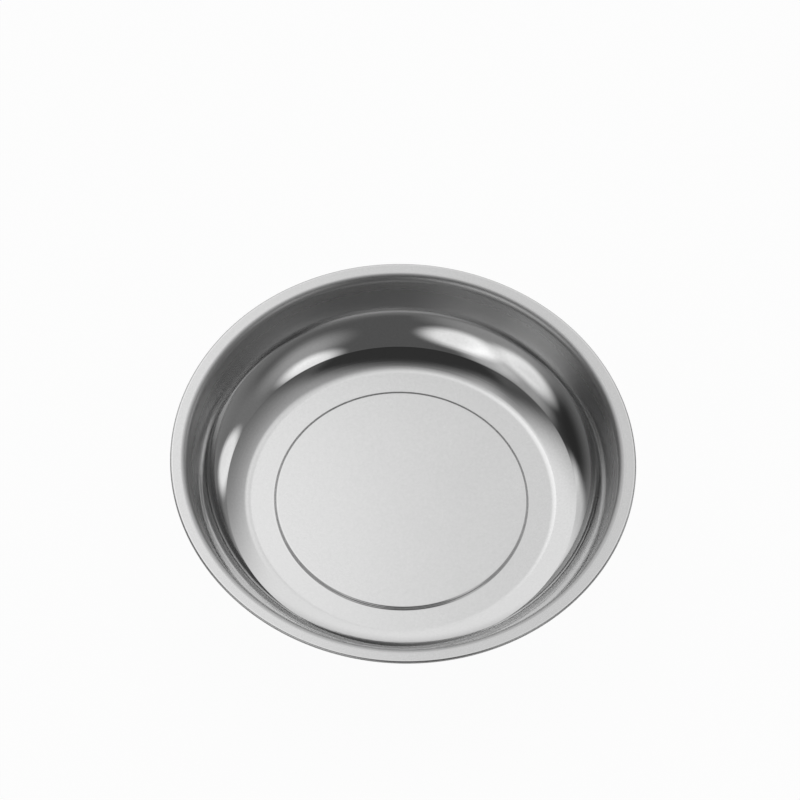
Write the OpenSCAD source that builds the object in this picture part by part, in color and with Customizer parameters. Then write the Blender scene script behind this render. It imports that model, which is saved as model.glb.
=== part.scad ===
// Round magnetic parts tray: a drawn stainless dish with a hemmed rim, held by a welded stud on a
// ring magnet, which a rubber boot covers. Millimetres, +Z up, origin on the bench under the centre.

/* [Dish] */
// Outside diameter over the hemmed rim
rim_d = 150; // [130:1:190]
// Height of the rim's top face above the bench
rim_h = 38; // [32:0.5:48]
// Thickness of the sheet
sheet = 0.6; // [0.4:0.05:0.7]
// Width of the flat ring of floor between the step and the wall's bend
floor_ring_w = 6.85; // [3:0.05:12]
// Radius of the bend between the floor and the foot of the wall
floor_bend_r = 7; // [4:0.25:10]
// Slope of the foot, in degrees
foot_a = 24; // [15:0.5:28]
// Width of the foot's straight band
foot_w = 5.35; // [2:0.05:6.5]
// Radius of the crease between the foot and the lower wall
crease_r = 1.5; // [0.5:0.1:3]
// Width of the foot and lower wall, from the flat floor to the corner of the wall's bend
low_wall_w = 17.1; // [14:0.1:19.5]
// Height of that corner above the floor
low_wall_h = 11.2; // [9:0.1:13]
// Radius of the lower wall
low_wall_r = 30; // [26:1:80]
// Radius of the bend between the lower and the upper wall
wall_bend_r = 10; // [4:0.5:13]
// Width that the straight upper wall leans out, from the corner of its bend to the lip
high_wall_w = 6.45; // [4:0.05:8]
// Flat width of the rim, from its lip to its edge
flange_w = 3.25; // [2.5:0.05:6]
// Radius under the bend between wall and rim
lip_bend_r = 2.3; // [0.3:0.1:3]
// Width of single sheet left between the lip and the fold under the rim
hem_gap = 0.55; // [0.3:0.05:1]

/* [Raised centre of the floor] */
// Height of the step
step_h = 0.8; // [0.5:0.05:1.1]
// Radius inside the step's bends
step_bend_r = 0.2; // [0.1:0.05:0.6]

/* [Magnet] */
// Outside diameter of the magnet
magnet_d = 72; // [60:0.5:84]
// Bore of the magnet
magnet_bore = 32; // [28:0.5:36]
// Thickness of the magnet
magnet_h = 10; // [8:0.1:12]

/* [Clamp plate] */
// Thickness of the plate
plate_t = 1; // [0.8:0.1:1.6]
// Gap between the plate's edge and the boot's wall
plate_gap = 0.4; // [0.2:0.05:1]
// Inside radius of the plate's bends
plate_bend_r = 1; // [0.5:0.1:2]
// Radial gap between the stud and its hole in the pan's roof
hole_gap = 0.25; // [0.15:0.05:0.5]

/* [Stud, nut and washers] */
// Diameter of the stud's thread
stud_d = 5; // [4:0.1:5.2]
// Diameter of the stud's weld flange
weld_flange_d = 12; // [8:0.5:16]
// Thickness of the weld flange
weld_flange_t = 1; // [0.6:0.1:1.5]
// Length of stud that stands out of the nut
stud_end = 0.6; // [0.2:0.1:0.8]
// Width of the nut across its flats
nut_af = 8; // [7.5:0.1:10]
// Height of the nut
nut_h = 4; // [3:0.1:4.7]
// Depth of the thread's bevel at the nut's faces and the stud's end
thread_bevel = 0.4; // [0.2:0.05:0.6]
// Outside diameter of the flat washer
washer_d = 10; // [9:0.5:15]
// Thickness of the flat washer
washer_t = 1; // [0.5:0.1:1.2]
// Outside diameter of the spring washer
spring_d = 9.2; // [8:0.1:12]
// Thickness of the spring washer
spring_t = 1.2; // [0.8:0.1:1.4]
// Width of the split in the spring washer
spring_split = 0.8; // [0.4:0.1:1.5]

/* [Rubber boot] */
// Thickness of the boot's floor
boot_floor = 1.4; // [1:0.1:2]
// Thickness of the boot's wall
boot_wall = 2.3; // [1.5:0.1:2.5]
// Reach of the boot's lip over the magnet
boot_lip_w = 2.7; // [1.5:0.1:5]
// Thickness of the boot's lip
boot_lip_t = 0.8; // [0.6:0.1:1.2]
// Radius of the boot's bottom edge
boot_edge_r = 1; // [0.5:0.1:1.4]
// Radius of the boot's top edge
boot_top_r = 0.4; // [0.2:0.05:0.6]

/* [Foam gasket] */
// Bore of the gasket
gasket_bore = 38; // [34:0.5:50]

/* [Fits] */
// Radial gap between pieces that slip together
slip_gap = 0.2; // [0.1:0.05:0.3]
// Radial gap between the thread and what turns on it or slips over it
thread_gap = 0.1; // [0.05:0.01:0.15]
// Height of the nut above the boot's floor
nut_gap = 1; // [0.9:0.1:1.5]

/* [Hidden] */
$fn = 96;
// Largest turn and length of one step along an arc of an outline
arc_turn = 9;
arc_length = 1.5;

magnet_z = boot_floor + plate_t;
magnet_top = magnet_z + magnet_h;
boot_top = magnet_top + boot_lip_t;
boot_in_r = magnet_d / 2 + slip_gap;
boot_r = boot_in_r + boot_wall;
boot_lip_r = boot_in_r - boot_lip_w;
plate_r = boot_in_r - plate_gap;
pan_r = magnet_bore / 2 - slip_gap - plate_bend_r;

nut_z = boot_floor + nut_gap;
spring_z = nut_z + nut_h;
washer_z = spring_z + spring_t;
roof_z = washer_z + washer_t;
thread_bore = stud_d + 2 * thread_gap;

// The floor lies on the boot, and its raised centre stands the step's height above that seat
floor_z = boot_top + sheet;
raised_z = floor_z + step_h;
seat_z = raised_z - sheet;
rim_r = rim_d / 2;

// Slope of a vector in the profile, the unit vector along a slope, and the one square to it, into the bowl
function heading(v) = atan2(v[1], v[0]);
function along(a) = [cos(a), sin(a)];
function inward(a) = [-sin(a), cos(a)];

// Points of an arc about a centre, between two angles
function arc(centre, r, from, to) =
    let (turn = abs(to - from), n = ceil(max(turn / arc_turn, r * turn * PI / 180 / arc_length)))
    [for (i = [0 : n]) centre + r * along(from + (to - from) * i / n)];

function reversed(list) = [for (i = [len(list) - 1 : -1 : 0]) list[i]];

// Centre of an arc of radius r that runs into a line through p, at slope a, and into a wider arc.
// Of the two places where they can meet, way = 1 is the one further up the line.
function blend_c(p, a, r, wide_c, wide_r, way) =
    let (q = p + r * inward(a) - wide_c, b = along(a) * q)
    wide_c + q + along(a) * (way * sqrt(b ^ 2 - q * q + (wide_r - r) ^ 2) - b);

// The straight upper wall runs from the corner of the wall's bend to the rim's lip, and touches its arc
lip_r = lip_bend_r + sheet;
lip_c = [rim_r - flange_w, rim_h - lip_r];
corner = [lip_c[0] - high_wall_w, floor_z + low_wall_h];
high_wall_a = heading(lip_c - corner) + asin(lip_r / norm(lip_c - corner));

// The foot leaves the floor in a bend, and the lower wall is an arc from its crease to the corner
floor_bend_c = [corner[0] - low_wall_w, floor_z + floor_bend_r];
crease = floor_bend_c - floor_bend_r * inward(foot_a) + foot_w * [1, tan(foot_a)];
chord = corner - crease;
low_wall_c = (crease + corner) / 2
    + sqrt(low_wall_r ^ 2 - chord * chord / 4) * inward(heading(chord));
crease_c = blend_c(crease, foot_a, crease_r, low_wall_c, low_wall_r, 1);
wall_bend_c = blend_c(corner, high_wall_a, wall_bend_r, low_wall_c, low_wall_r, -1);
low_wall_from = heading(crease_c - low_wall_c);
low_wall_to = heading(wall_bend_c - low_wall_c);

// The step is two equal arcs, which meet half way down
step_r = step_bend_r + sheet;
step_a = acos(1 - step_h / (2 * step_r));
step_foot_r = floor_bend_c[0] - floor_ring_w;
recess_r = step_foot_r - 2 * step_r * sin(step_a);

// One face of the sheet, from the centre of the floor out to the rim: t is its depth in the sheet
function face(t) = concat(
    [[0, raised_z - t]],
    arc([recess_r, raised_z - step_r], step_r - t, 90, 90 - step_a),
    arc([step_foot_r, floor_z + step_r], step_r + t, 270 - step_a, 270),
    arc(floor_bend_c, floor_bend_r + t, -90, foot_a - 90),
    arc(crease_c, crease_r + t, foot_a - 90, low_wall_from),
    arc(low_wall_c, low_wall_r + t, low_wall_from, low_wall_to),
    arc(wall_bend_c, wall_bend_r + t, low_wall_to, high_wall_a - 90),
    arc(lip_c, lip_r - t, 90 + high_wall_a, 90));

module dish() {
    edge_c = [rim_r - sheet, rim_h - sheet];
    hem_r = lip_c[0] + hem_gap;
    color("silver")
        rotate_extrude()
            polygon(concat(
                face(0),
                arc(edge_c, sheet, 90, -90),
                [[hem_r, rim_h - 2 * sheet], [hem_r, rim_h - sheet]],
                reversed(face(sheet))));
}

// Headless stud: its flange is welded to the underside of the raised centre
module weld_stud() {
    end_z = nut_z - stud_end;
    color("gainsboro")
        rotate_extrude()
            polygon([[0, seat_z], [weld_flange_d / 2, seat_z], [weld_flange_d / 2, seat_z - weld_flange_t],
                     [stud_d / 2, seat_z - weld_flange_t], [stud_d / 2, end_z + thread_bevel],
                     [stud_d / 2 - thread_bevel, end_z], [0, end_z]]);
}

module ring(outer_d, inner_d, z, h) {
    translate([0, 0, z])
        linear_extrude(h)
            difference() {
                circle(d = outer_d);
                circle(d = inner_d);
            }
}

// Pad in the recess under the raised centre, on the boot's lip
module foam_gasket() {
    color("dimgray") ring(2 * (recess_r - slip_gap), gasket_bore, boot_top, step_h);
}

module magnet_ring() {
    color("darkslategray") ring(magnet_d, magnet_bore, magnet_z, magnet_h);
}

// Pressed plate: its pan stands up in the magnet's bore, with the nut inside the pan
module clamp_plate() {
    in_r = plate_bend_r;
    out_r = plate_bend_r + plate_t;
    hole_r = stud_d / 2 + hole_gap;
    // Centres of the bends at the roof's edge and at the pan's foot
    roof_c = [pan_r - out_r, roof_z + plate_t - out_r];
    foot_c = [pan_r + in_r, magnet_z + in_r];
    color("lightsteelblue")
        rotate_extrude()
            polygon(concat(
                [[hole_r, roof_z + plate_t]],
                arc(roof_c, out_r, 90, 0),
                arc(foot_c, in_r, 180, 270),
                [[plate_r, magnet_z], [plate_r, magnet_z - plate_t]],
                arc(foot_c, out_r, 270, 180),
                arc(roof_c, in_r, 0, 90),
                [[hole_r, roof_z]]));
}

module flat_washer() {
    color("gainsboro") ring(washer_d, thread_bore, washer_z, washer_t);
}

// Split ring, drawn flat as the tightened nut holds it
module spring_washer() {
    color("gray")
        difference() {
            ring(spring_d, thread_bore, spring_z, spring_t);
            translate([0, -spring_split / 2, spring_z - spring_t])
                cube([spring_d, spring_split, 3 * spring_t]);
        }
}

module hex_nut() {
    corner_d = nut_af / cos(30);
    bevel_d = thread_bore + 2 * thread_bevel;
    color("gainsboro")
        translate([0, 0, nut_z])
            difference() {
                cylinder(d = corner_d, h = nut_h, $fn = 6);
                rotate_extrude()
                    polygon([[0, 0], [bevel_d / 2, 0], [thread_bore / 2, thread_bevel],
                             [thread_bore / 2, nut_h - thread_bevel], [bevel_d / 2, nut_h], [0, nut_h]]);
            }
}

// Moulded cap: stretched over the magnet, with its lip held between magnet and gasket
module rubber_boot() {
    color("#222222")
        rotate_extrude()
            polygon(concat(
                [[0, 0]],
                arc([boot_r - boot_edge_r, boot_edge_r], boot_edge_r, -90, 0),
                arc([boot_r - boot_top_r, boot_top - boot_top_r], boot_top_r, 0, 90),
                [[boot_lip_r, boot_top], [boot_lip_r, magnet_top], [boot_in_r, magnet_top],
                 [boot_in_r, boot_floor], [0, boot_floor]]));
}

dish();
weld_stud();
foam_gasket();
magnet_ring();
clamp_plate();
flat_washer();
spring_washer();
hex_nut();
rubber_boot();
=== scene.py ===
from math import cos, radians, sin

import bpy
import numpy as np
from mathutils import Matrix, Vector


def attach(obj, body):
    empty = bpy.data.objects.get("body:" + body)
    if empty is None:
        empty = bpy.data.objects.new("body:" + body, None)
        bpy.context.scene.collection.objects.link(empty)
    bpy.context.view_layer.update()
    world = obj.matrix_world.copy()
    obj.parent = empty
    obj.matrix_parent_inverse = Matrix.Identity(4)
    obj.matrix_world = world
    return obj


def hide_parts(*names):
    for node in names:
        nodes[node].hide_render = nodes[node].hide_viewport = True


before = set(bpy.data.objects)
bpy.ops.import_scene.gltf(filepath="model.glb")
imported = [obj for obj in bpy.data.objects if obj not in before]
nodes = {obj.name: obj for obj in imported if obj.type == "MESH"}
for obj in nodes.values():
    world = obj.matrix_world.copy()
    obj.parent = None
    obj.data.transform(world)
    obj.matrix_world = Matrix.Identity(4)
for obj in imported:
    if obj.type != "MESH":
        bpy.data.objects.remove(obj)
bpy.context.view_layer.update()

# The dish: one disc of 0.6 mm stainless sheet, drawn to a bowl with a stepped floor. Its rim is
# turned out flat and the edge folded under in a hem. The flats are satin, and the wall is polished
# where it slid over the drawing die, which left fine lines round it.

# Lengths in mm, slopes and the foot's bow in degrees
MM = 0.001
SHEET = 0.6
RIM_RADIUS, RIM_HEIGHT, RIM_WIDTH = 75.0, 38.0, 3.25
FLOOR_HEIGHT, FLOOR_RING, FLOOR_BEND = 13.8, 6.85, 7.0
STEP_HEIGHT, STEP_BEND, STEP_SLOPE = 0.8, 0.8, 60.0
FOOT_SLOPE, FOOT_WIDTH, FOOT_BOW, CREASE_BEND = 24.0, 5.35, 2.9, 1.5
LOW_WALL_BEND, LOW_WALL_WIDTH, LOW_WALL_HEIGHT = 30.0, 17.1, 11.2
WALL_BEND, HIGH_WALL_WIDTH = 10.0, 6.45
LIP_BEND, HEM_GAP, HEM_ROUND, HEM_SEAM = 2.9, 0.55, 0.12, 0.02
# Points of the mesh: how many round the dish, and how far apart along each bend of its outline
DISH_SPOKES = 360
STEP_PITCH, FLOOR_PITCH, FOOT_PITCH, CREASE_PITCH = 0.09, 0.16, 0.5, 0.05
LOW_WALL_PITCH, WALL_PITCH, LIP_PITCH, EDGE_PITCH, HEM_PITCH = 0.5, 0.16, 0.12, 0.1, 0.05
UNDERSIDE_COARSE = 2.5


def along(slope):
    """The unit vector (r, z) that climbs outward at a slope in degrees."""
    return np.array((np.cos(np.radians(slope)), np.sin(np.radians(slope))))


def heading(step):
    """The slope of a vector (r, z), in degrees."""
    return np.degrees(np.arctan2(step[1], step[0]))


def blend_centre(point, slope, radius, wide_centre, wide_radius, way):
    """Centre of an arc that runs into a line through a point and into a wider arc: it lies one
    radius from the line, and the difference of the two radii from the wide centre. Of the two
    places where that holds, a way of 1 takes the one further up the line, and -1 the other."""
    start = point + radius * along(slope + 90) - wide_centre
    nearest = along(slope) @ start
    reach = np.sqrt(nearest ** 2 - start @ start + (wide_radius - radius) ** 2)
    return wide_centre + start + along(slope) * (way * reach - nearest)


# The straight upper wall touches the lip's arc, and the foot leaves the floor in a bend
lip_centre = np.array((RIM_RADIUS - RIM_WIDTH, RIM_HEIGHT - LIP_BEND))
corner = np.array((lip_centre[0] - HIGH_WALL_WIDTH, FLOOR_HEIGHT + LOW_WALL_HEIGHT))
to_lip = lip_centre - corner
high_slope = heading(to_lip) + np.degrees(np.arcsin(LIP_BEND / np.hypot(*to_lip)))
floor_radius = corner[0] - LOW_WALL_WIDTH
floor_bend_centre = np.array((floor_radius, FLOOR_HEIGHT + FLOOR_BEND))
bend_end = floor_bend_centre - FLOOR_BEND * along(FOOT_SLOPE + 90)
crease = bend_end + FOOT_WIDTH * along(FOOT_SLOPE) / along(FOOT_SLOPE)[0]

# The foot bows down by 0.08 mm: it leaves the bend a little early, and steepens up to the crease
foot_from = FOOT_SLOPE - FOOT_BOW
foot_chord = crease - (floor_bend_centre - FLOOR_BEND * along(foot_from + 90))
foot_to = 2 * heading(foot_chord) - foot_from
foot_bend = np.hypot(*foot_chord) / (2 * np.sin(np.radians(foot_to - foot_from) / 2))
foot_centre = floor_bend_centre + (foot_bend - FLOOR_BEND) * along(foot_from + 90)

# The lower wall is an arc from the crease to the corner, with a smaller arc at each end
chord = corner - crease
low_rise = np.sqrt(LOW_WALL_BEND ** 2 - chord @ chord / 4)
low_centre = (crease + corner) / 2 + low_rise * along(heading(chord) + 90)
crease_centre = blend_centre(crease, foot_to, CREASE_BEND, low_centre, LOW_WALL_BEND, 1)
bend_centre = blend_centre(corner, high_slope, WALL_BEND, low_centre, LOW_WALL_BEND, -1)
low_from, low_to = heading(crease_centre - low_centre), heading(bend_centre - low_centre)

# The step is two equal arcs, which meet half way down
step_foot = floor_radius - FLOOR_RING
step_top = step_foot - 2 * STEP_BEND * along(STEP_SLOPE)[1]
raised_height = FLOOR_HEIGHT + STEP_HEIGHT


def arc(centre, radius, start, end, pitch):
    """Points at even angles along an arc: centre + radius (cos a, sin a), from a = start to end,
    no further apart than the pitch."""
    count = int(np.ceil(np.radians(abs(end - start)) * radius / pitch)) + 1
    turn = np.radians(np.linspace(start, end, max(count, 4)))
    return np.asarray(centre) + radius * np.column_stack((np.cos(turn), np.sin(turn)))


def run(*points):
    """Corner points of a straight stretch of an outline, as an array."""
    return np.array(points, float)


def sheet_face(depth, coarse=1):
    """One face of the sheet from the axis to the lip, offset by depth from its upper face: flats,
    and arcs whose radius grows or shrinks by depth. Coarse widens the pitch along the arcs."""
    # Points across the two flats keep their shading even
    centre = np.array([0, 8, 16, 24, 32, 37, step_top - 0.4])
    ring = np.linspace(step_foot + 0.3, floor_radius - 0.3, 5)
    crown = (step_top, raised_height - STEP_BEND)
    hollow = (step_foot, FLOOR_HEIGHT + STEP_BEND)
    return np.concatenate((
        np.column_stack((centre, np.full_like(centre, raised_height - depth))),
        arc(crown, STEP_BEND - depth, 90, 90 - STEP_SLOPE, STEP_PITCH * coarse),
        arc(hollow, STEP_BEND + depth, 270 - STEP_SLOPE, 270, STEP_PITCH * coarse)[1:],
        np.column_stack((ring, np.full_like(ring, FLOOR_HEIGHT - depth))),
        arc(floor_bend_centre, FLOOR_BEND + depth, -90, foot_from - 90, FLOOR_PITCH * coarse),
        arc(foot_centre, foot_bend + depth, foot_from - 90, foot_to - 90,
            FOOT_PITCH * coarse)[1:-1],
        arc(crease_centre, CREASE_BEND + depth, foot_to - 90, low_from, CREASE_PITCH * coarse),
        arc(low_centre, LOW_WALL_BEND + depth, low_from, low_to, LOW_WALL_PITCH * coarse)[1:],
        arc(bend_centre, WALL_BEND + depth, low_to, high_slope - 90, WALL_PITCH * coarse)[1:],
        arc(lip_centre, LIP_BEND - depth, 90 + high_slope, 90, LIP_PITCH * coarse)))


def turned(name, outline, spokes):
    """A body of revolution. Each outline point (r, z) goes round the axis as (r cos a, r sin a, z)
    at even angles a, and the first and last points, on the axis, stay single points."""
    angle = np.linspace(0, 2 * np.pi, spokes, endpoint=False)
    radius, height = outline[1:-1].T
    points = np.empty((len(radius), spokes, 3))
    points[..., 0] = radius[:, None] * np.cos(angle)
    points[..., 1] = radius[:, None] * np.sin(angle)
    points[..., 2] = height[:, None]
    poles = np.array([[0, 0, outline[0, 1]], [0, 0, outline[-1, 1]]])
    points = np.concatenate((points.reshape(-1, 3), poles)) * MM
    row, step = np.meshgrid(np.arange(len(radius) - 1), np.arange(spokes), indexing="ij")
    here, beside = row * spokes + step, row * spokes + (step + 1) % spokes
    quads = np.stack((here, here + spokes, beside + spokes, beside), -1).reshape(-1, 4)
    first, last = len(points) - 2, len(points) - 1
    spoke, following = np.arange(spokes), (np.arange(spokes) + 1) % spokes
    last_row = (len(radius) - 1) * spokes
    fan = np.column_stack((np.full(spokes, first), spoke, following))
    closing = np.column_stack((np.full(spokes, last), last_row + following, last_row + spoke))
    mesh = bpy.data.meshes.new(name)
    mesh.from_pydata(points.tolist(), [], quads.tolist() + fan.tolist() + closing.tolist())
    mesh.shade_smooth()
    mesh.update()
    body = bpy.data.objects.new(name, mesh)
    bpy.context.scene.collection.objects.link(body)
    return body


# The rim and its hem. The points a little way from each bend keep the shading of the flats even
under = RIM_HEIGHT - SHEET
hem_low = RIM_HEIGHT - 2 * SHEET
hem_radius = lip_centre[0] + HEM_GAP
edge_radius = RIM_RADIUS - SHEET
upper_side = np.concatenate((
    sheet_face(0),
    run((lip_centre[0] + 0.2, RIM_HEIGHT), (hem_radius + 0.8, RIM_HEIGHT),
        (edge_radius - 0.2, RIM_HEIGHT))))
under_side = np.concatenate((
    arc((edge_radius, under), SHEET, 90, -90, EDGE_PITCH),
    run((edge_radius - 0.2, hem_low), (edge_radius - 1.2, hem_low), (hem_radius + 0.4, hem_low)),
    arc((hem_radius + HEM_ROUND, hem_low + HEM_ROUND), HEM_ROUND, 270, 180, HEM_PITCH),
    run((hem_radius, under - 0.2), (hem_radius, under - 3 * HEM_SEAM),
        (hem_radius + 0.04, under - HEM_SEAM), (hem_radius + 0.5, under - HEM_SEAM),
        (hem_radius + 0.5, under), (hem_radius - 0.1, under), (hem_radius - 0.4, under)),
    sheet_face(SHEET, UNDERSIDE_COARSE)[::-1]))
dish_outline = np.concatenate((upper_side, under_side))
dish = turned("dish_sheet", dish_outline, DISH_SPOKES)
outside = np.arange(len(dish_outline)) >= len(upper_side)
outside = np.concatenate((np.repeat(outside[1:-1], DISH_SPOKES), outside[[0, -1]]))
marked = dish.data.attributes.new("outside", "FLOAT", "POINT")
marked.data.foreach_set("value", outside.astype(float))


class Wire:
    """One socket of a node tree: sums on wires add Math nodes, and node() adds any other node."""

    def __init__(self, tree, socket=None):
        self.tree, self.socket = tree, socket

    def node(self, kind, settings=None, sockets=None, out=0):
        """Adds a node, sets its settings, fills or links its sockets and gives one output."""
        made = self.tree.nodes.new("ShaderNode" + kind)
        for name, value in (settings or {}).items():
            setattr(made, name, value)
        for name, value in (sockets or {}).items():
            socket = made.inputs[name] if isinstance(name, int) else next(
                s for s in made.inputs if s.enabled and s.name == name)
            if isinstance(value, Wire):
                self.tree.links.new(value.socket, socket)
            else:
                socket.default_value = value
        outputs = [s for s in made.outputs if s.enabled]
        if outputs:
            return Wire(self.tree, outputs[out] if isinstance(out, int) else made.outputs[out])

    def out(self, name):
        """Another output of the same node."""
        return Wire(self.tree, self.socket.node.outputs[name])

    def maths(self, operation, *others):
        """A Math node on this wire and the others."""
        return self.node("Math", {"operation": operation}, dict(enumerate((self, *others))))

    def __add__(self, other):
        return self.maths("ADD", other)

    def __sub__(self, other):
        return self.maths("SUBTRACT", other)

    def __mul__(self, other):
        return self.maths("MULTIPLY", other)

    def __truediv__(self, other):
        return self.maths("DIVIDE", other)

    def __rsub__(self, other):
        return self.node("Math", {"operation": "SUBTRACT"}, {0: other, 1: self})

    def __rtruediv__(self, other):
        return self.node("Math", {"operation": "DIVIDE"}, {0: other, 1: self})

    __radd__, __rmul__ = __add__, __mul__

    def between(self, low, high):
        """0 below low, 1 above high, and a smooth S between them."""
        return self.node("MapRange", {"interpolation_type": "SMOOTHSTEP"},
                         {"Value": self, "From Min": low, "From Max": high})


def blank(name):
    """A new empty material, and a wire to build its nodes from."""
    material = bpy.data.materials.new(name)
    material.use_nodes = True
    material.node_tree.nodes.clear()
    return material, Wire(material.node_tree)


def grey(wire, level):
    """A colour of equal red, green and blue from one value."""
    return wire.node("CombineColor", None, {"Red": level, "Green": level, "Blue": level})


def noise(wire, scale, detail, roughness=0.5):
    """Noise from 0 to 1 in the object's own coordinates. Scale is in lumps to the metre."""
    return wire.node("TexNoise", None, {"Vector": wire.node("TexCoord", out="Object"),
                                        "Scale": scale, "Detail": detail, "Roughness": roughness})


def bump(wire, strength, height, distance=0.0001):
    """The surface's normal, tilted as if the height stood up from it by the distance in metres."""
    return wire.node("Bump", None, {"Strength": strength, "Distance": distance, "Height": height},
                     out="Normal")


def surface(wire, sockets):
    """Ends a material in one Principled surface with these values and wires."""
    wire.node("OutputMaterial", None, {"Surface": wire.node("BsdfPrincipled", None, sockets)})


stainless, steel = blank("satin_and_polished_stainless")
place = steel.node("TexCoord", out="Object")
level_place = steel.node("VectorMath", {"operation": "MULTIPLY"}, {0: place, 1: (1, 1, 0)})
from_axis = steel.node("VectorMath", {"operation": "LENGTH"}, {0: level_place}, out="Value") / MM
height = steel.node("SeparateXYZ", None, {0: place}, out="Z") / MM

# Zones by distance from the axis, in mm. Inside, the step and the lower wall are polished. The
# upper wall and the lip are duller and painted darker, a painted shade for the dark room they
# mirror. The rim is satin like the floor, and its rolled edge is painted dark, a painted shade for
# the dark line along its rounding.
outer = steel.node("Attribute", {"attribute_name": "outside"}, out="Fac")
inner = 1 - outer
on_wall = inner * from_axis.between(49, 51)
on_high_wall = on_wall * from_axis.between(63, 67)
on_lip = from_axis.between(67.5, 70)
on_rim = from_axis.between(70.8, 72)
on_shaded_edge = from_axis.between(74.2, 74.6)
on_step = inner * from_axis.between(39.8, 40.2) * (1 - from_axis.between(41, 41.5))

# Fine lines round the wall: noise that changes fast with radius and height, and hardly with angle
LINES_ACROSS, LINES_ROUND = 1.1, 1.5
bearing = steel.node("VectorMath", {"operation": "NORMALIZE"}, {0: level_place})
bearing = steel.node("SeparateXYZ", None, {0: bearing}, out="X")
lines_place = steel.node("CombineXYZ", None, {
    "X": from_axis * LINES_ACROSS, "Y": height * LINES_ACROSS, "Z": bearing * LINES_ROUND})
lines = steel.node("TexNoise", {"noise_dimensions": "4D"}, {
    "Vector": lines_place, "W": bearing.out("Y") * LINES_ROUND,
    "Scale": 2.0, "Detail": 3.0, "Roughness": 0.7})

# Each zone's roughness and brightness, with the satin's fine grain and faint clouds
grain = noise(steel, 1400.0, 3.0, 0.65) - 0.5
cloud = noise(steel, 60.0, 2.0) - 0.5
rough_flat = 0.22 + 0.03 * grain + 0.04 * cloud
rough_wall = 0.06 + 0.2 * on_high_wall + 0.1 * on_lip - 0.12 * on_rim + 0.04 * (lines - 0.5)
roughness = rough_flat + on_wall * (rough_wall - rough_flat) - 0.15 * on_step
# Painted shade: the tone drops on the upper wall, the lip and the rim's rolled edge
tone = 0.7 - 0.25 * on_high_wall + 0.2 * on_rim - 0.28 * on_shaded_edge + 0.1 * grain + 0.02 * cloud
lined = on_wall.maths("MAXIMUM", outer)
surface(steel, {"Base Color": grey(steel, tone), "Metallic": 1.0, "Roughness": roughness,
                "Normal": bump(steel, 0.02, lined * lines, 0.0002)})
dish.data.materials.append(stainless)
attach(dish, "root")
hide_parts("dish")

# The weld stud, the flat washer and the nut: bright zinc-plated steel. The stud is welded by its
# flange under the raised centre, and the nut on it holds the base together.


def tinted(wire, share, dark, light):
    """A colour that lies between two others, by a share from 0 to 1."""
    return wire.node("Mix", {"data_type": "RGBA"},
                     {"Factor": share, "A": (*dark, 1), "B": (*light, 1)})


def dress(name, material):
    """Gives this material alone to a piece that keeps its CAD mesh."""
    nodes[name].data.materials.clear()
    nodes[name].data.materials.append(material)


zinc, plating = blank("bright_zinc_plating")
blush = noise(plating, 500.0, 3.0)
surface(plating, {"Base Color": tinted(plating, blush, (0.62, 0.66, 0.7), (0.76, 0.76, 0.74)),
                  "Metallic": 1.0, "Roughness": 0.22 + 0.16 * blush})
for piece in ("weld_stud", "flat_washer", "hex_nut"):
    dress(piece, zinc)

# The foam gasket: a ring cut from closed-cell foam sheet, stuck in the recess under the raised
# centre as a seat for the magnet and its boot.

foam, cells = blank("closed_cell_foam")
bubble = cells.node("TexVoronoi", None, {
    "Vector": cells.node("TexCoord", out="Object"), "Scale": 2500.0}, out="Distance")
surface(cells, {"Base Color": grey(cells, 0.03 + 0.05 * bubble), "Roughness": 0.9,
                "Normal": bump(cells, 0.6, bubble)})
dress("foam_gasket", foam)

# The magnet: a ring of pressed and sintered ferrite with ground faces. It is clamped under the
# dish by the plate below it.

ferrite, ceramic = blank("sintered_ferrite")
speck = noise(ceramic, 900.0, 4.0, 0.7)
surface(ceramic, {"Base Color": grey(ceramic, 0.05 + 0.06 * speck),
                  "Roughness": 0.42 + 0.2 * speck, "Normal": bump(ceramic, 0.3, speck)})
dress("magnet_ring", ferrite)

# The clamp plate: pressed from mild steel sheet, matt zinc plated. Its rim holds the magnet up,
# and its pan stands in the magnet's bore and takes the nut.

plate_zinc, pressed = blank("matt_zinc_plate")
mottle = noise(pressed, 220.0, 4.0)
surface(pressed, {"Base Color": tinted(pressed, mottle, (0.5, 0.52, 0.55), (0.7, 0.7, 0.69)),
                  "Metallic": 1.0, "Roughness": 0.38 + 0.2 * mottle})
dress("clamp_plate", plate_zinc)

# The spring washer: a split ring of dark oiled spring steel. It lies between the nut and the
# flat washer, and is drawn flat as the tightened nut holds it.

oiled, blued = blank("oiled_spring_steel")
film = noise(blued, 700.0, 3.0)
surface(blued, {"Base Color": tinted(blued, film, (0.2, 0.2, 0.22), (0.38, 0.37, 0.36)),
                "Metallic": 1.0, "Roughness": 0.3 + 0.2 * film})
dress("spring_washer", oiled)

# The boot: a cap of black rubber, moulded in one piece and stretched over the magnet, which keeps
# it from scratching what it holds to. Its lip is trapped under the dish.

BOOT_RADIUS, BOOT_TOP, BOOT_FLOOR = 38.5, 13.2, 1.4
BOOT_INSIDE, BOOT_LIP, MAGNET_TOP = 36.2, 33.5, 12.4
BOOT_TOP_ROUND, BOOT_EDGE_ROUND = 0.4, 1.0
BOOT_TOP_PITCH, BOOT_EDGE_PITCH, BOOT_SPOKES = 0.1, 0.15, 256
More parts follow.
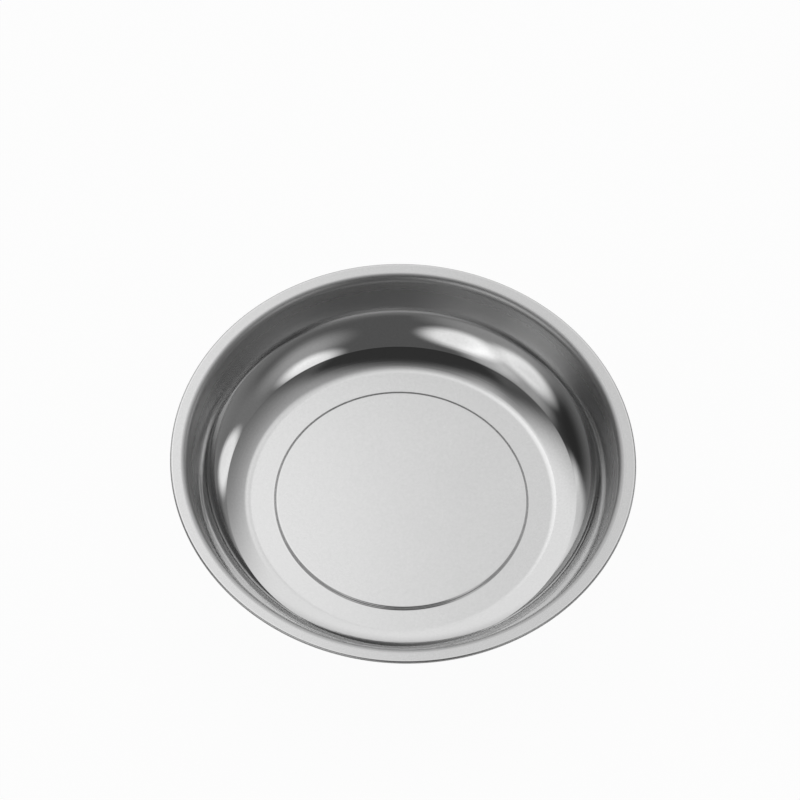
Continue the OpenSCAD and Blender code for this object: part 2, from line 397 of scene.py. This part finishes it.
# A point this far to each side of a sharp corner keeps the shading of the faces even
NEAR = 0.1
boot_outline = np.concatenate((
    run((0, BOOT_FLOOR), (20, BOOT_FLOOR), (36, BOOT_FLOOR), (BOOT_INSIDE, BOOT_FLOOR),
        (BOOT_INSIDE, BOOT_FLOOR + NEAR), (BOOT_INSIDE, MAGNET_TOP - NEAR),
        (BOOT_INSIDE, MAGNET_TOP), (BOOT_INSIDE - NEAR, MAGNET_TOP),
        (BOOT_LIP + NEAR, MAGNET_TOP), (BOOT_LIP, MAGNET_TOP), (BOOT_LIP, MAGNET_TOP + NEAR),
        (BOOT_LIP, BOOT_TOP - NEAR), (BOOT_LIP, BOOT_TOP), (BOOT_LIP + NEAR, BOOT_TOP),
        (BOOT_RADIUS - 0.6, BOOT_TOP)),
    arc((BOOT_RADIUS - BOOT_TOP_ROUND, BOOT_TOP - BOOT_TOP_ROUND), BOOT_TOP_ROUND, 90, 0,
        BOOT_TOP_PITCH),
    run((BOOT_RADIUS, BOOT_TOP - 0.6), (BOOT_RADIUS, 7), (BOOT_RADIUS, 1.3)),
    arc((BOOT_RADIUS - BOOT_EDGE_ROUND, BOOT_EDGE_ROUND), BOOT_EDGE_ROUND, 0, -90,
        BOOT_EDGE_PITCH),
    run((BOOT_RADIUS - 1.3, 0), (30, 0), (15, 0), (0, 0))))
boot = turned("boot_cap", boot_outline, BOOT_SPOKES)
rubber, black = blank("moulded_rubber")
bloom = noise(black, 120.0, 4.0)
pebble = noise(black, 1800.0, 2.0)
surface(black, {"Base Color": grey(black, 0.016 + 0.012 * bloom), "Roughness": 0.5 + 0.2 * bloom,
                "Normal": bump(black, 0.35, pebble)})
boot.data.materials.append(rubber)
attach(boot, "root")
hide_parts("rubber_boot")

# The table: a plain white sheet that the tray stands on. The camera sees it almost as if it were
# lit through, like paper on a light table, with a trace of the tray's shadow. From below it is
# clear.

FLOOR_HALF = 4.0
SEEN_GLOW = 0.96
floor_mesh = bpy.data.meshes.new("table")
floor_mesh.from_pydata([(-FLOOR_HALF, -FLOOR_HALF, 0), (FLOOR_HALF, -FLOOR_HALF, 0),
                        (FLOOR_HALF, FLOOR_HALF, 0), (-FLOOR_HALF, FLOOR_HALF, 0)],
                       [], [(0, 1, 2, 3)])
floor = bpy.data.objects.new("table", floor_mesh)
bpy.context.scene.collection.objects.link(floor)
paper, sheet = blank("white_table")
seen = sheet.node("LightPath", out="Is Camera Ray")
lit = sheet.node("BsdfDiffuse", None, {"Color": (0.86, 0.86, 0.86, 1)})
glow = sheet.node("Emission", None, {"Color": (1, 1, 1, 1), "Strength": 1.0})
face = sheet.node("MixShader", None, {0: seen * SEEN_GLOW, 1: lit, 2: glow})
below = sheet.node("NewGeometry", out="Backfacing")
sheet.node("OutputMaterial", None, {"Surface": sheet.node("MixShader", None, {
    0: below, 1: face, 2: sheet.node("BsdfTransparent")})})
floor_mesh.materials.append(paper)

# The studio: a white dome stands over the back of the table. Softboxes to both sides of the
# camera, and one on the right, show in the polished wall. The room behind the camera is dark.

DEGREES = 180 / np.pi
studio = bpy.data.worlds.new("studio")
studio.use_nodes = True
studio.node_tree.nodes.clear()
bpy.context.scene.world = studio
air = Wire(studio.node_tree)
toward = air.node("TexCoord", out="Generated")
east = air.node("SeparateXYZ", None, {0: toward}, out="X")
compass = east.maths("ARCTAN2", east.out("Y")) * DEGREES
tilt = east.out("Z").maths("ARCSINE") * DEGREES


def softbox(azimuth, elevation, width, height, edge, lean=0.0):
    """1 inside an oval patch of sky and 0 outside: the distance from its middle, in half widths
    across and half heights up, through a smooth edge. Lean moves it sideways with height."""
    upward = (tilt - elevation) / height
    sideways = (compass - azimuth - (tilt - elevation) * lean) / width
    distance = (sideways * sideways + upward * upward).maths("SQRT")
    return 1 - distance.between(1 - edge, 1 + edge)


# The dome is a round patch of sky. It dims to the right and toward the camera, fades to its edge
# high on the left, and is dimmer by the table, at the back near the top, and low on the left.
DOME_TILT, DOME_FULL, DOME_END = radians(44), radians(53), radians(61)
FADE_FROM, FADE_TO = radians(38), radians(62)
dome_axis = (0, cos(DOME_TILT), sin(DOME_TILT))
into_dome = air.node("VectorMath", {"operation": "DOT_PRODUCT"}, {0: toward, 1: dome_axis},
                     out="Value")
dome = into_dome.between(cos(DOME_END), cos(DOME_FULL))
west = (0 - east).maths("MAXIMUM", 0.0)
behind = east.out("Y") + 0.45 * west.maths("MINIMUM", 0.4)
dome_level = (1 - 0.75 * east.between(0.36, 0.74)) * (0.37 + 0.63 * behind.between(-0.15, 0.45))
near_edge = 1 - into_dome.between(cos(FADE_TO), cos(FADE_FROM))
dome_level = dome_level * (1 - west.between(0.3, 0.5) * tilt.between(26, 36) * near_edge)
dome_level = dome_level - 0.22 * (1 - tilt.between(9, 17))
dome_level = dome_level - 0.16 * softbox(0, 60, 26, 12, 0.6) - 0.3 * softbox(-60, 17, 14, 10, 0.6)

# The room is darkest overhead and lighter by the table, with a dark patch on the left and a
# light one on the right
room = 0.11 - 0.07 * tilt.between(60, 64) + 0.14 * (1 - tilt.between(5, 24))
room = room - 0.08 * softbox(-84, 16, 20, 24, 0.5) + 0.1 * softbox(84, 32, 20, 16, 0.6)
light = room + dome * (dome_level - room)

# The softboxes: azimuth clockwise from the back, elevation, half width and half height in
# degrees, then softness of the edge, lean and power
SOFTBOXES = (
    (-153, 40, 19.5, 10.5, 0.4, 0, 0.95),
    (-119, 30, 17.5, 8.5, 0.45, 0, 0.8),
    (-133, 47, 15, 9, 0.6, 0, 0.4),
    (-137, 34, 13, 7, 0.6, 0, 0.2),
    (-140, 20, 30, 10, 0.5, 0, 0.2),
    (-110, 43, 18, 8, 0.7, 0, 0.3),
    (121, 48, 15, 8, 0.5, 0.6, 0.95),
    (124, 35, 20, 10, 0.7, 0, 0.3),
    (66.5, 23.5, 10, 9, 0.35, 0.65, 0.85))
for *patch, power in SOFTBOXES:
    light = light + softbox(*patch) * power
air.node("OutputWorld", None, {"Surface": air.node("Background", None, {
    "Color": (1, 1, 1, 1), "Strength": light})})

# A small round lamp hangs over the back of the table, where the dish's floor mirrors it toward
# the camera. It is to the left, and brightens that side of the dish.
LAMP_BACK = Vector((0, 0.52, 0.855))
lamp = bpy.data.lights.new("lamp", "AREA")
lamp.shape, lamp.size, lamp.energy = "DISK", 0.2, 0.03
lamp_stand = bpy.data.objects.new("lamp", lamp)
lamp_stand.location = (-0.1, 0.235, 0.46)
lamp_stand.rotation_euler = LAMP_BACK.to_track_quat("Z", "Y").to_euler()
bpy.context.scene.collection.objects.link(lamp_stand)

# The camera: a long lens on a stand in front, looking down at 59 degrees and tipped a little to
# one side, so that the rim's centre lands where it is in the picture of 800 by 800 pixels.

LENS_DISTANCE, SENSOR = 10.0, 36.0
PIXELS, PIXELS_PER_MM = 800, 3.109
RIM_IN_PICTURE = (403.2, 462.1)
CAMERA_TILT, CAMERA_ROLL = radians(58.7), radians(2.8)
back = Vector((0, -cos(CAMERA_TILT), sin(CAMERA_TILT)))
level = Vector((1, 0, 0))
right = level * cos(CAMERA_ROLL) + back.cross(level) * sin(CAMERA_ROLL)
up = back.cross(right)
aim = (Vector((0, 0, RIM_HEIGHT * MM))
       - right * ((RIM_IN_PICTURE[0] - PIXELS / 2) / PIXELS_PER_MM * MM)
       + up * ((RIM_IN_PICTURE[1] - PIXELS / 2) / PIXELS_PER_MM * MM))
lens = bpy.data.cameras.new("camera")
lens.sensor_width = SENSOR
lens.lens = PIXELS_PER_MM / MM * LENS_DISTANCE * SENSOR / PIXELS
camera = bpy.data.objects.new("camera", lens)
camera.matrix_world = Matrix((right, up, back)).transposed().to_4x4()
camera.location = aim + back * LENS_DISTANCE
bpy.context.scene.collection.objects.link(camera)
bpy.context.scene.camera = camera
bpy.context.scene.view_settings.view_transform = "Standard"
